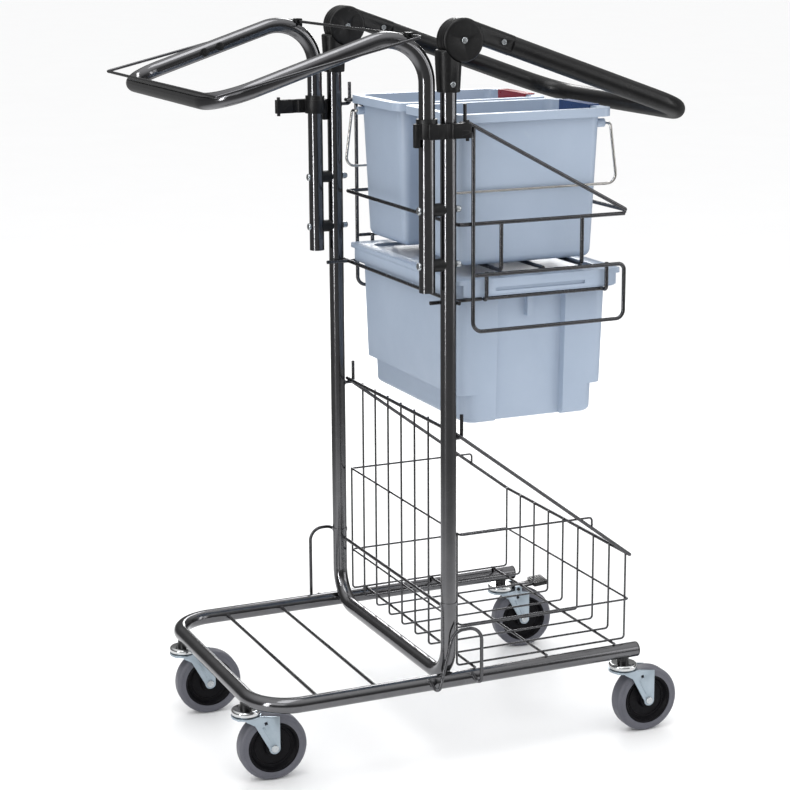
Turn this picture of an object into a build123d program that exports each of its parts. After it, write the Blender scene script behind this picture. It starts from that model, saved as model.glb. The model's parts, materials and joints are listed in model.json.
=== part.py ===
from build123d import *
from math import cos, radians, sin, sqrt, tan
import os

os.makedirs("parts", exist_ok=True)

# Housekeeping cart. The floor is Z = 0, the two upright posts stand at Y = 0,
# the bag holder and platform face -Y, and the push handle faces +Y.

# ---- overall sizes (mm) ----
post_half = 200.0          # post axis to the centre plane
rail_z = 126.0             # axis height of the base rails
rail_front = 282.0         # post plane to the front cross tube's axis
rail_rear = 304.0          # post plane to the rails' rear ends
post_joint_z = 240.0       # where the upper posts sit on the lower frame
head_bottom_z = 952.0      # lower end of the hinge heads
hub_y = 17.0               # handle pivot, behind the post plane
hub_z = 1020.0             # handle pivot height

# ---- tubes and wires ----
tube_d = 22.0
tube_wall = 1.5
rail_corner_r = 62.0
weld_bite = 0.4            # how far welded wires sink into each other
rod_d = 5.0                # platform rods and foot loops
peg_d = 5.0
shelf_wire_d = 5.5
rim_wire_d = 5.0
mesh_wire_d = 3.0
clear = 0.3                # gap between parts that move past each other
fit_gap = 0.06             # radial gap of a pin in its hole

tube_r = tube_d / 2
bore_d = tube_d - 2 * tube_wall


def straight_bar(start, end, outer_d, hole_d=0.0):
    """A round bar or tube from one point to another."""
    axis = Vector(end) - Vector(start)
    with BuildPart() as bar:
        with BuildSketch(Plane(origin=start, z_dir=axis)):
            Circle(outer_d / 2)
            if hole_d:
                Circle(hole_d / 2, mode=Mode.SUBTRACT)
        extrude(amount=axis.length)
    return bar.part


def bent_bar(points, bend_r, outer_d, hole_d=0.0):
    """A round bar or tube along straight runs joined by bends."""
    with BuildPart() as bar:
        with BuildLine() as route:
            FilletPolyline(*points, radius=bend_r)
        with BuildSketch(Plane(origin=route.line @ 0, z_dir=route.line % 0)):
            Circle(outer_d / 2)
            if hole_d:
                Circle(hole_d / 2, mode=Mode.SUBTRACT)
        sweep()
    return bar.part


def wire_frame(x, y_front, z_front, y_rear, z_rear, corner_r, wire_d):
    """A closed four-sided wire loop, symmetric about the centre plane."""
    halves = []
    for side in (1, -1):
        points = [
            (0, y_front, z_front),
            (side * x, y_front, z_front),
            (side * x, y_rear, z_rear),
            (0, y_rear, z_rear),
        ]
        halves.append(bent_bar(points, corner_r, wire_d))
    with BuildPart() as loop:
        add(halves[0])
        add(halves[1])
    return loop.part


def keep(piece, label):
    """Label a finished piece and write it."""
    piece.part.label = label
    export_step(piece.part, f"parts/{label}.step")


# ======================= base =======================

plug_cap = 2.5
plug_depth = 14.0
platform_rod_y = (-192.0, -103.0)
stub_rod_z = 230.0
ring_height = 5.0
ring_wall = 1.0

# The lower frame's bends pass the rails at 45 degrees and are welded to them there.
uframe_bend_r = (tube_d - weld_bite) / (sqrt(2) - 1)

with BuildPart() as base_rail:
    add(bent_bar(
        [
            (post_half, rail_rear, rail_z),
            (post_half, -rail_front, rail_z),
            (-post_half, -rail_front, rail_z),
            (-post_half, rail_rear, rail_z),
        ],
        rail_corner_r, tube_d, bore_d,
    ))
keep(base_rail, "base_rail")

with BuildPart() as rail_end_plugs:
    for side in (1, -1):
        with BuildSketch(Plane(origin=(side * post_half, rail_rear, rail_z), z_dir=(0, 1, 0))):
            Circle(tube_r)
        extrude(amount=plug_cap)
        with BuildSketch(Plane(origin=(side * post_half, rail_rear, rail_z), z_dir=(0, -1, 0))):
            Circle(bore_d / 2)
        extrude(amount=plug_depth)
    fillet(rail_end_plugs.edges().group_by(Axis.Y)[-1], radius=plug_cap * 0.6)
keep(rail_end_plugs, "rail_end_plugs")

rod_reach = post_half - tube_r + weld_bite
with BuildPart() as cross_rods:
    for y in platform_rod_y:
        add(straight_bar((-rod_reach, y, rail_z), (rod_reach, y, rail_z), rod_d))
    add(straight_bar((-rod_reach, 0, stub_rod_z), (rod_reach, 0, stub_rod_z), rod_d))
keep(cross_rods, "cross_rods")

with BuildPart() as lower_uframe:
    add(bent_bar(
        [
            (post_half, 0, post_joint_z),
            (post_half, 0, rail_z),
            (-post_half, 0, rail_z),
            (-post_half, 0, post_joint_z),
        ],
        uframe_bend_r, tube_d, bore_d,
    ))
keep(lower_uframe, "lower_uframe")

with BuildPart() as post_joint_rings:
    for side in (1, -1):
        bottom = (side * post_half, 0, post_joint_z - ring_height / 2)
        top = (side * post_half, 0, post_joint_z + ring_height / 2)
        add(straight_bar(bottom, top, tube_d + 2 * ring_wall, tube_d))
keep(post_joint_rings, "post_joint_rings")

# Wire loops beside the rails that hold the feet of long-handled tools.
loop_gap = 7.0             # rail side to the loop wire
loop_leg_y = 42.0          # upright leg
loop_foot_y = -25.0        # foot of the slanted leg
loop_top_y = -1.0          # top of the slanted leg
loop_bottom_z = 119.0
loop_corner_r = 20.0
loop_hook_r = 4.5
loop_heights = {1: 206.0, -1: 239.0}     # loop top on the left and the right side


def foot_loop(top_z):
    x = post_half + tube_r + loop_gap + rod_d / 2
    hook_x = post_half + tube_r * cos(radians(40)) + rod_d / 2 * cos(radians(40)) - 1.0
    hook_z = rail_z + (tube_r + rod_d / 2) * sin(radians(40)) - 1.0
    points = [
        (hook_x, loop_leg_y - 9, hook_z),
        (x, loop_leg_y, loop_bottom_z - 4),
        (x, loop_leg_y, top_z),
        (x, loop_top_y, top_z),
        (x, loop_foot_y, loop_bottom_z - 4),
        (hook_x, loop_foot_y - 9, hook_z),
    ]
    return bent_bar(points, [loop_hook_r, loop_corner_r, loop_corner_r, loop_hook_r], rod_d)


with BuildPart() as foot_loops:
    add(foot_loop(loop_heights[1]))
    add(foot_loop(loop_heights[-1]).rotate(Axis.Z, 180))
keep(foot_loops, "foot_loops")

# ======================= posts, bag holder =======================

post_top = head_bottom_z + 28
bag_gap = 9.5              # between post and bag tube
bag_bottom_z = 685.0
bag_arm_slope = 18.0
bag_bend_r = 59.0
bag_front_r = 55.0
bag_corner_z = 1045.0      # where the upright's axis meets the arm's axis
bag_reach = 325.0          # post plane to the front bar
spacer_z = (721.0, 796.0)
spacer_d = 18.0
bolt_d = 6.0
bolt_hole_d = 6.6
bolt_head_d = 11.0
bolt_head_h = 3.5
nut_d = 10.0
nut_h = 8.0

bag_y = -(tube_d + bag_gap)
bag_front_z = bag_corner_z - (bag_reach + bag_y) * tan(radians(bag_arm_slope))


def cross_holes():
    """Drillings for the bolts that tie the bag tube to the posts."""
    with BuildPart() as holes:
        for side in (1, -1):
            for z in spacer_z:
                add(straight_bar((side * post_half, -80, z), (side * post_half, 40, z), bolt_hole_d))
    return holes.part


# Push-in plugs in pairs on the inner faces of the bag holder's two arms.
arm_plug_d = 12.0
arm_plug_rise = 2.5
arm_plug_in = 4.0
arm_plug_y = (-207.0, -183.0)


def arm_plugs():
    with BuildPart() as plugs:
        for side in (1, -1):
            for y in arm_plug_y:
                z = bag_corner_z + (y - bag_y) * tan(radians(bag_arm_slope))
                start = (side * (post_half - tube_r + arm_plug_in), y, z)
                end = (side * (post_half - tube_r - arm_plug_rise), y, z)
                add(straight_bar(start, end, arm_plug_d))
    return plugs.part


bolt_holes = cross_holes()

with BuildPart() as upper_posts:
    for side in (1, -1):
        add(straight_bar((side * post_half, 0, post_joint_z), (side * post_half, 0, post_top),
                         tube_d, bore_d))
    add(bolt_holes, mode=Mode.SUBTRACT)
keep(upper_posts, "upper_posts")

bag_route = [
    (post_half, bag_y, bag_bottom_z),
    (post_half, bag_y, bag_corner_z),
    (post_half, -bag_reach, bag_front_z),
    (-post_half, -bag_reach, bag_front_z),
    (-post_half, bag_y, bag_corner_z),
    (-post_half, bag_y, bag_bottom_z),
]
bag_radii = [bag_bend_r, bag_front_r, bag_front_r, bag_bend_r]
with BuildPart() as bag_tube:
    add(bent_bar(bag_route, bag_radii, tube_d, bore_d))
    add(bolt_holes, mode=Mode.SUBTRACT)
    add(arm_plugs(), mode=Mode.SUBTRACT)
keep(bag_tube, "bag_tube")

with BuildPart() as tube_spacers:
    for side in (1, -1):
        for z in spacer_z:
            add(straight_bar((side * post_half, bag_y, z), (side * post_half, 0, z),
                             spacer_d, bolt_hole_d))
    for side in (1, -1):
        for y in (bag_y, 0):
            add(straight_bar((side * post_half, y, spacer_z[0] - 30),
                             (side * post_half, y, spacer_z[1] + 30), tube_d),
                mode=Mode.SUBTRACT)
keep(tube_spacers, "tube_spacers")

bolt_front = bag_y - tube_r
with BuildPart() as spacer_bolts:
    for side in (1, -1):
        for z in spacer_z:
            with BuildSketch(Plane(origin=(side * post_half, bolt_front, z), z_dir=(0, 1, 0))):
                Circle(bolt_d / 2)
            extrude(amount=tube_r - bolt_front + nut_h * 0.6)
            with BuildSketch(Plane(origin=(side * post_half, bolt_front, z), z_dir=(0, -1, 0))):
                Circle(bolt_head_d / 2)
            extrude(amount=bolt_head_h)
    fillet(spacer_bolts.edges().group_by(Axis.Y)[0], radius=bolt_head_h * 0.7)
keep(spacer_bolts, "spacer_bolts")

with BuildPart() as dome_nuts:
    for side in (1, -1):
        for z in spacer_z:
            with BuildSketch(Plane(origin=(side * post_half, tube_r, z), z_dir=(0, 1, 0))):
                Circle(nut_d / 2)
            extrude(amount=nut_h)
    fillet(dome_nuts.edges().group_by(Axis.Y)[-1], radius=nut_d * 0.4)
    for side in (1, -1):
        for z in spacer_z:
            with BuildSketch(Plane(origin=(side * post_half, tube_r, z), z_dir=(0, 1, 0))):
                Circle(bolt_d / 2)
            extrude(amount=nut_h * 0.6, mode=Mode.SUBTRACT)
keep(dome_nuts, "dome_nuts")

with BuildPart() as bag_tube_plugs:
    add(arm_plugs())
keep(bag_tube_plugs, "bag_tube_plugs")

# ======================= bag clamp frame =======================

clamp_wire_d = 4.0
clamp_half = post_half + 40.0
clamp_front_y = -338.0
clamp_rear_y = -57.0
clamp_corner_r = 5.0

bag_bend_y = bag_y - bag_bend_r
bag_bend_z = bag_corner_z - bag_bend_r * tan(radians((90 + bag_arm_slope) / 2))
clamp_lift = clamp_wire_d / 2 + clear
clamp_front_rise = 12.5    # front rod above the bag tube's front bar
clip_w = 12.0
clip_l = 11.0
clip_over = 2.2            # plastic over the rod
clamp_rear_z = bag_bend_z + sqrt(
    (bag_bend_r + tube_r + clamp_lift) ** 2 - (clamp_rear_y - bag_bend_y) ** 2)
clamp_front_z = bag_front_z + clamp_front_rise

with BuildPart() as clamp_frame:
    add(wire_frame(clamp_half, clamp_front_y, clamp_front_z,
                   clamp_rear_y, clamp_rear_z, clamp_corner_r, clamp_wire_d))
keep(clamp_frame, "clamp_frame")

with BuildPart() as clamp_clips:
    clip_top = clamp_rear_z + clamp_wire_d / 2 + clip_over
    for side in (1, -1):
        with BuildSketch(Plane.XY.offset(clip_top)):
            with Locations((side * post_half, clamp_rear_y)):
                RectangleRounded(clip_w, clip_l, 1.5)
        extrude(amount=-(clamp_wire_d + 2 * clip_over + 8))
    fillet(clamp_clips.edges().group_by(Axis.Z)[-1], radius=1.0)
    add(bent_bar(bag_route, bag_radii, tube_d), mode=Mode.SUBTRACT)
    add(straight_bar((-clamp_half, clamp_rear_y, clamp_rear_z), (clamp_half, clamp_rear_y, clamp_rear_z),
                     clamp_wire_d + 2 * fit_gap), mode=Mode.SUBTRACT)
keep(clamp_clips, "clamp_clips")

# ======================= hinge heads =======================

neck_w = 29.0
neck_corner_r = 11.0
neck_flare = 3.0           # degrees, widening upwards
neck_top_z = 1008.0
tongue_t = 11.0
drum_r = 29.5
drum_w = 28.0
slot_gap = 0.4             # round the tongue, inside the arm
hub_bolt_d = 6.0
neck_screw_z = 963.0
neck_screw_d = 4.5
neck_screw_in = 1.8
screw_head_d = 7.6
screw_head_h = 1.6


def hub_sketch_plane(x):
    return Plane(origin=(x, hub_y, hub_z), x_dir=(0, 1, 0), z_dir=(1, 0, 0))


def neck_screw():
    """The screw that holds one hinge head on its post."""
    outside = post_half + neck_w / 2
    with BuildPart() as screw:
        add(straight_bar((outside - neck_screw_in, 0, neck_screw_z), (outside, 0, neck_screw_z),
                         neck_screw_d))
        add(straight_bar((outside - screw_head_h / 2, 0, neck_screw_z),
                         (outside + screw_head_h, 0, neck_screw_z), screw_head_d))
        fillet(screw.edges().group_by(Axis.X)[-1], radius=screw_head_h * 0.6)
    return screw.part


with BuildPart() as hinge_heads:
    with BuildSketch(Plane.XY.offset(head_bottom_z)):
        with Locations((post_half, 0)):
            RectangleRounded(neck_w, neck_w, neck_corner_r)
    extrude(amount=neck_top_z - head_bottom_z, taper=-neck_flare)
    fillet(hinge_heads.edges().group_by(Axis.Z)[0], radius=1.2)
    fillet(hinge_heads.edges().group_by(Axis.Z)[-1], radius=3.0)
    for x, way in ((post_half + tongue_t / 2, 1), (post_half - tongue_t / 2, -1)):
        with BuildSketch(hub_sketch_plane(x)):
            Circle(drum_r + clear)
        extrude(amount=way * drum_w, mode=Mode.SUBTRACT)
    with BuildSketch(hub_sketch_plane(post_half - tongue_t / 2)):
        Circle(drum_r)
        with Locations((-hub_y, neck_top_z - 15 - hub_z)):
            Rectangle(neck_w + 2, 24)
    extrude(amount=tongue_t)
    with BuildSketch(hub_sketch_plane(post_half - tongue_t / 2)):
        Circle(hub_bolt_d / 2 + fit_gap)
    extrude(amount=tongue_t, mode=Mode.SUBTRACT)
    add(straight_bar((post_half, 0, head_bottom_z - 1), (post_half, 0, post_top), tube_d),
        mode=Mode.SUBTRACT)
    add(neck_screw(), mode=Mode.SUBTRACT)
    mirror(about=Plane.YZ)
keep(hinge_heads, "hinge_heads")

with BuildPart() as neck_screws:
    add(neck_screw())
    mirror(about=Plane.YZ)
keep(neck_screws, "neck_screws")

# ======================= push handle =======================

grip_d = 27.0
spigot_d = 20.0
spigot_in = 34.0
handle_slope = 19.6        # fall of the handle towards the rear
handle_offset = 15.8       # grip axis above the pivot, square to the arm
arm_length = 72.5          # pivot to the arm's open end, along the arm
handle_reach = 376.5       # pivot to the cross bar's axis, along the arm
handle_corner_r = 62.0
arm_screw_u = 57.0
arm_screw_in = 1.5
arm_w = 23.0
arm_edge_r = 7.0
drum_edge_r = 4.5
hub_head_d = 8.6
hub_head_h = 2.0


def arm_plane(x):
    """A plane square to the pivot: local x runs along the arm, local y points up."""
    fall = radians(handle_slope)
    return Plane(origin=(x, hub_y, hub_z), x_dir=(0, cos(fall), -sin(fall)), z_dir=(1, 0, 0))


def on_arm(x, u, v):
    """The point at u along the arm and v above the pivot."""
    fall = radians(handle_slope)
    return (x, hub_y + u * cos(fall) + v * sin(fall), hub_z - u * sin(fall) + v * cos(fall))


def arm_screw_pair():
    """The two screws through one arm that hold the grip tube."""
    with BuildPart() as screws:
        for way in (1, -1):
            x = post_half + way * arm_w / 2
            start = on_arm(x - way * arm_screw_in, arm_screw_u, handle_offset)
            end = on_arm(x + way * screw_head_h, arm_screw_u, handle_offset)
            add(straight_bar(start, end, screw_head_d))
    return screws.part


with BuildPart() as arm_drum:
    with BuildSketch(arm_plane(post_half - drum_w / 2)):
        Circle(drum_r)
    extrude(amount=drum_w)
    fillet(arm_drum.edges().filter_by(GeomType.CIRCLE), radius=drum_edge_r)

with BuildPart() as handle_arms:
    with BuildSketch(arm_plane(post_half - arm_w / 2)):
        with Locations((arm_length / 2, handle_offset)):
            Rectangle(arm_length, grip_d)
    extrude(amount=arm_w)
    along = Vector(0, cos(radians(handle_slope)), -sin(radians(handle_slope)))
    fillet(handle_arms.edges().filter_by(Axis((0, 0, 0), along)), radius=arm_edge_r)
    add(arm_drum.part)
    with BuildSketch(arm_plane(post_half - tongue_t / 2 - clear)):
        Circle(drum_r + slot_gap)
    extrude(amount=tongue_t + 2 * clear, mode=Mode.SUBTRACT)
    with BuildSketch(arm_plane(post_half - drum_w / 2)):
        Circle(hub_bolt_d / 2)
    extrude(amount=drum_w, mode=Mode.SUBTRACT)
    add(straight_bar(on_arm(post_half, arm_length - spigot_in, handle_offset),
                     on_arm(post_half, arm_length + 1, handle_offset), spigot_d),
        mode=Mode.SUBTRACT)
    add(arm_screw_pair(), mode=Mode.SUBTRACT)
    mirror(about=Plane.YZ)
keep(handle_arms, "handle_arms")

with BuildPart() as handle_tube:
    add(bent_bar(
        [
            on_arm(post_half, arm_length, handle_offset),
            on_arm(post_half, handle_reach, handle_offset),
            on_arm(-post_half, handle_reach, handle_offset),
            on_arm(-post_half, arm_length, handle_offset),
        ],
        handle_corner_r, grip_d,
    ))
    for side in (1, -1):
        add(straight_bar(on_arm(side * post_half, arm_length - spigot_in, handle_offset),
                         on_arm(side * post_half, arm_length + 1, handle_offset), spigot_d))
keep(handle_tube, "handle_tube")

with BuildPart() as hub_bolts:
    with BuildSketch(arm_plane(post_half - drum_w / 2)):
        Circle(hub_bolt_d / 2)
    extrude(amount=drum_w)
    with BuildSketch(arm_plane(post_half + drum_w / 2)):
        Circle(hub_head_d / 2)
    extrude(amount=hub_head_h)
    fillet(hub_bolts.edges().group_by(Axis.X)[-1], radius=hub_head_h * 0.7)
    with BuildSketch(arm_plane(post_half - drum_w / 2)):
        RegularPolygon(hub_head_d / 2, 6)
    extrude(amount=-hub_head_h)
    mirror(about=Plane.YZ)
keep(hub_bolts, "hub_bolts")

with BuildPart() as arm_screws:
    add(arm_screw_pair())
    mirror(about=Plane.YZ)
keep(arm_screws, "arm_screws")

# ======================= hanger pegs on the posts =======================

basket_peg_x = post_half - 6.0
basket_peg_y = 23.0
basket_peg_top = 509.0
shelf_peg_y = 24.5
shelf_peg_z = 904.0
shelf_peg_top = 936.0
basket_front_z = 482.0

basket_peg_z = basket_front_z - rim_wire_d / 2 - peg_d / 2 - 1.0

with BuildPart() as hanger_pegs:
    for side in (1, -1):
        add(bent_bar(
            [
                (side * basket_peg_x, tube_r - 3.5, basket_peg_z),
                (side * basket_peg_x, basket_peg_y, basket_peg_z),
                (side * basket_peg_x, basket_peg_y, basket_peg_top),
            ],
            peg_d * 0.8, peg_d,
        ))
        add(bent_bar(
            [
                (side * post_half, tube_r - 1, shelf_peg_z),
                (side * post_half, shelf_peg_y, shelf_peg_z),
                (side * post_half, shelf_peg_y, shelf_peg_top),
            ],
            peg_d * 0.8, peg_d,
        ))
        add(straight_bar((side * post_half, 0, basket_peg_z - 20),
                         (side * post_half, 0, shelf_peg_z + 20), tube_d), mode=Mode.SUBTRACT)
keep(hanger_pegs, "hanger_pegs")

# ======================= bucket shelf and box carrier =======================

shelf_side_x = post_half + 2.5       # side loops and sloped rods
ring_y = 17.0
shelf_rear_y = 274.0
shelf_rear_z = 778.0
side_loop_front_y = 36.0
side_loop_rear_y = 271.0
side_loop_bottom_z = 625.0
side_rail_z = 703.0
floor_wire_y = (81.0, 206.0)
middle_wire_y = 144.0
floor_wire_z = 706.0
carrier_z = 667.0
hanger_y = (59.0, 246.0)
front_bar_half = 205.0
stub_reach = 21.0
eye_r = 5.6

inner_x = shelf_side_x - shelf_wire_d + weld_bite
carrier_x = post_half - tube_r - shelf_wire_d / 2 - 0.2
ring_z = shelf_rear_z - shelf_wire_d + weld_bite
slope_front_y = shelf_peg_y + eye_r
slope_front_z = shelf_peg_z + peg_d / 2 + shelf_wire_d / 2 + 0.3
slope = (slope_front_z - shelf_rear_z) / (shelf_rear_y - slope_front_y)

with BuildPart() as shelf_top_frame:
    add(bent_bar(
        [
            (shelf_side_x, slope_front_y, slope_front_z),
            (shelf_side_x, shelf_rear_y, shelf_rear_z),
            (-shelf_side_x, shelf_rear_y, shelf_rear_z),
            (-shelf_side_x, slope_front_y, slope_front_z),
        ],
        7.0, shelf_wire_d,
    ))
    for side in (1, -1):
        with BuildSketch(Plane(origin=(side * post_half, shelf_peg_y + eye_r, slope_front_z),
                               z_dir=(1, 0, 0))):
            Circle(shelf_wire_d / 2)
        revolve(axis=Axis((side * post_half, shelf_peg_y, slope_front_z), (0, 0, 1)),
                revolution_arc=360)
keep(shelf_top_frame, "shelf_top_frame")

with BuildPart() as shelf_ring:
    add(bent_bar(
        [
            (inner_x, shelf_rear_y - 1, ring_z),
            (inner_x, ring_y, ring_z),
            (-inner_x, ring_y, ring_z),
            (-inner_x, shelf_rear_y - 1, ring_z),
        ],
        7.0, shelf_wire_d,
    ))
keep(shelf_ring, "shelf_ring")


def side_loop(side):
    x = side * shelf_side_x
    top = slope_front_z - slope * (side_loop_front_y - slope_front_y) - shelf_wire_d / 2 + weld_bite
    points = [
        (x, side_loop_front_y, top),
        (x, side_loop_front_y, side_loop_bottom_z),
        (x, side_loop_rear_y, side_loop_bottom_z),
        (x, side_loop_rear_y, side_rail_z),
        (x, side_loop_front_y + shelf_wire_d - weld_bite, side_rail_z),
    ]
    return bent_bar(points, [14.0, 12.0, 9.0], shelf_wire_d)


with BuildPart() as shelf_side_loops:
    add(side_loop(1))
    add(side_loop(-1))
keep(shelf_side_loops, "shelf_side_loops")

with BuildPart() as shelf_floor_wires:
    for y in floor_wire_y:
        add(bent_bar(
            [
                (inner_x, y, ring_z - shelf_wire_d / 2 + weld_bite),
                (inner_x, y, floor_wire_z),
                (-inner_x, y, floor_wire_z),
                (-inner_x, y, ring_z - shelf_wire_d / 2 + weld_bite),
            ],
            6.0, shelf_wire_d,
        ))
    rod_end = shelf_side_x - 1.5
    add(straight_bar((-rod_end, middle_wire_y, floor_wire_z), (rod_end, middle_wire_y, floor_wire_z),
                     shelf_wire_d))
keep(shelf_floor_wires, "shelf_floor_wires")

with BuildPart() as carrier_rails:
    for side in (1, -1):
        add(bent_bar(
            [
                (side * inner_x, hanger_y[1], side_rail_z + shelf_wire_d / 2),
                (side * inner_x, hanger_y[1], carrier_z),
                (side * carrier_x, hanger_y[1], carrier_z),
                (side * carrier_x, hanger_y[0], carrier_z),
                (side * inner_x, hanger_y[0], carrier_z),
                (side * inner_x, hanger_y[0], side_rail_z + shelf_wire_d / 2),
            ],
            5.0, shelf_wire_d,
        ))
keep(carrier_rails, "carrier_rails")

front_bar_y = tube_r + shelf_wire_d / 2 + 0.2
with BuildPart() as carrier_front_bar:
    add(straight_bar((-front_bar_half, front_bar_y, carrier_z), (front_bar_half, front_bar_y, carrier_z),
                     shelf_wire_d))
    for side in (1, -1):
        add(straight_bar((side * carrier_x, -stub_reach, carrier_z),
                         (side * carrier_x, hanger_y[0] - shelf_wire_d / 2 + weld_bite, carrier_z),
                         shelf_wire_d))
keep(carrier_front_bar, "carrier_front_bar")

# ======================= wire basket =======================

basket_half = post_half + 1.0
basket_front_y = 13.9
basket_rear_y = 293.0
basket_rear_z = 271.5
long_wire_half = post_half - 9.0
long_wire_count = 9
upper_ring_z = 336.0
upper_ring_rear_y = 229.0
lower_ring_z = 204.0
bottom_rod_y = (41.0, 156.0, 268.0)
bottom_rod_d = 4.0
mesh_corner_r = 5.0

bottom_rod_z = rail_z + tube_r + bottom_rod_d / 2 + 0.1
mesh_bottom_z = bottom_rod_z + bottom_rod_d / 2 + mesh_wire_d / 2 - weld_bite
mesh_front_y = basket_front_y + rim_wire_d / 2 + mesh_wire_d / 2 - weld_bite
mesh_rear_y = basket_rear_y - rim_wire_d / 2 - mesh_wire_d / 2 + weld_bite
rim_fall = (basket_front_z - basket_rear_z) / (basket_rear_y - basket_front_y)
ring_front_y = mesh_front_y + mesh_wire_d - weld_bite

with BuildPart() as basket_rim:
    add(wire_frame(basket_half, basket_front_y, basket_front_z, basket_rear_y, basket_rear_z,
                   6.0, rim_wire_d))
keep(basket_rim, "basket_rim")

with BuildPart() as basket_long_wires:
    for i in range(long_wire_count):
        x = -long_wire_half + 2 * long_wire_half * i / (long_wire_count - 1)
        outer = i in (0, long_wire_count - 1)
        front_top = upper_ring_z + mesh_wire_d if outer else basket_front_z + rim_wire_d / 2
        add(bent_bar(
            [
                (x, mesh_front_y, front_top),
                (x, mesh_front_y, mesh_bottom_z),
                (x, mesh_rear_y, mesh_bottom_z),
                (x, mesh_rear_y, basket_rear_z + rim_wire_d / 2),
            ],
            mesh_corner_r, mesh_wire_d,
        ))
keep(basket_long_wires, "basket_long_wires")

ring_half = basket_half - rim_wire_d / 2 - mesh_wire_d / 2 + weld_bite
ring_end_z = basket_front_z - rim_fall * (upper_ring_rear_y - basket_front_y) - rim_wire_d / 2
with BuildPart() as basket_rings:
    add(bent_bar(
        [
            (ring_half, upper_ring_rear_y, ring_end_z),
            (ring_half, upper_ring_rear_y, upper_ring_z),
            (ring_half, ring_front_y, upper_ring_z),
            (-ring_half, ring_front_y, upper_ring_z),
            (-ring_half, upper_ring_rear_y, upper_ring_z),
            (-ring_half, upper_ring_rear_y, ring_end_z),
        ],
        mesh_corner_r, mesh_wire_d,
    ))
    add(wire_frame(ring_half, ring_front_y, lower_ring_z,
                   mesh_rear_y + mesh_wire_d - weld_bite, lower_ring_z, mesh_corner_r, mesh_wire_d))
keep(basket_rings, "basket_rings")

with BuildPart() as basket_bottom_rods:
    for y in bottom_rod_y:
        add(straight_bar((-basket_half, y, bottom_rod_z), (basket_half, y, bottom_rod_z),
                         bottom_rod_d))
keep(basket_bottom_rods, "basket_bottom_rods")

# ======================= buckets =======================

bucket_rim_z = 919.0
bucket_front_y = 17.0
bucket_rear_y = 262.0
bucket_outer_x = post_half - drum_w / 2 - 0.5
bucket_inner_x = 10.0
bucket_flange = 11.5
bucket_rim_h = 11.5
bucket_wall = 2.5
bucket_taper = 2.8
bucket_corner_r = 19.0
bucket_bottom_r = 12.0
bail_d = 4.0
bail_pivot_in = 25.5       # pivot to the bucket's outer side
bail_pivot_z = 896.5
bail_arm_in = 11.5
bail_bar_z = 813.0
bail_bar_over = 11.0       # bar past the rim at each end
bail_corner_r = 13.0
boss_d = 12.0

bail_pivot_x = bucket_outer_x - bail_pivot_in
bail_arm_x = bucket_outer_x - bail_arm_in
bucket_x = (bucket_outer_x + bucket_inner_x) / 2
bucket_y = (bucket_front_y + bucket_rear_y) / 2
bucket_w = bucket_outer_x - bucket_inner_x
bucket_l = bucket_rear_y - bucket_front_y
bucket_bottom_z = floor_wire_z + shelf_wire_d / 2 + 0.2
bucket_depth = bucket_rim_z - bucket_bottom_z
boss_front_y = bucket_front_y + 3.5
boss_in = 12.0
pin_in = 9.5

with BuildPart() as bucket_cavity:
    with BuildSketch(Plane.XY.offset(bucket_rim_z)):
        with Locations((bucket_x, bucket_y)):
            RectangleRounded(bucket_w - 2 * bucket_flange - 2 * bucket_wall,
                             bucket_l - 2 * bucket_flange - 2 * bucket_wall,
                             bucket_corner_r - bucket_wall)
    extrude(amount=-(bucket_depth - bucket_wall), taper=bucket_taper)
    fillet(bucket_cavity.edges().group_by(Axis.Z)[0], radius=bucket_bottom_r - bucket_wall)

with BuildPart() as bucket_shape:
    with BuildSketch(Plane.XY.offset(bucket_rim_z)):
        with Locations((bucket_x, bucket_y)):
            RectangleRounded(bucket_w - 2 * bucket_flange, bucket_l - 2 * bucket_flange,
                             bucket_corner_r)
    extrude(amount=-bucket_depth, taper=bucket_taper)
    fillet(bucket_shape.edges().group_by(Axis.Z)[0], radius=bucket_bottom_r)
    with BuildSketch(Plane.XY.offset(bucket_rim_z - bucket_wall)):
        with Locations((bucket_x, bucket_y)):
            RectangleRounded(bucket_w, bucket_l, bucket_corner_r)
    extrude(amount=bucket_wall)
    with BuildSketch(Plane.XY.offset(bucket_rim_z - bucket_rim_h)):
        with Locations((bucket_x, bucket_y)):
            RectangleRounded(bucket_w, bucket_l, bucket_corner_r)
            RectangleRounded(bucket_w - 2 * bucket_wall, bucket_l - 2 * bucket_wall,
                             bucket_corner_r - bucket_wall, mode=Mode.SUBTRACT)
    extrude(amount=bucket_rim_h)
    for y, way in ((boss_front_y, 1), (2 * bucket_y - boss_front_y, -1)):
        add(straight_bar((bail_pivot_x, y, bail_pivot_z),
                         (bail_pivot_x, y + way * boss_in, bail_pivot_z), boss_d))
    add(bucket_cavity.part, mode=Mode.SUBTRACT)
    for y, way in ((boss_front_y, 1), (2 * bucket_y - boss_front_y, -1)):
        add(straight_bar((bail_pivot_x, y - way, bail_pivot_z),
                         (bail_pivot_x, y + way * pin_in, bail_pivot_z), bail_d + 2 * fit_gap),
            mode=Mode.SUBTRACT)

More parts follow.
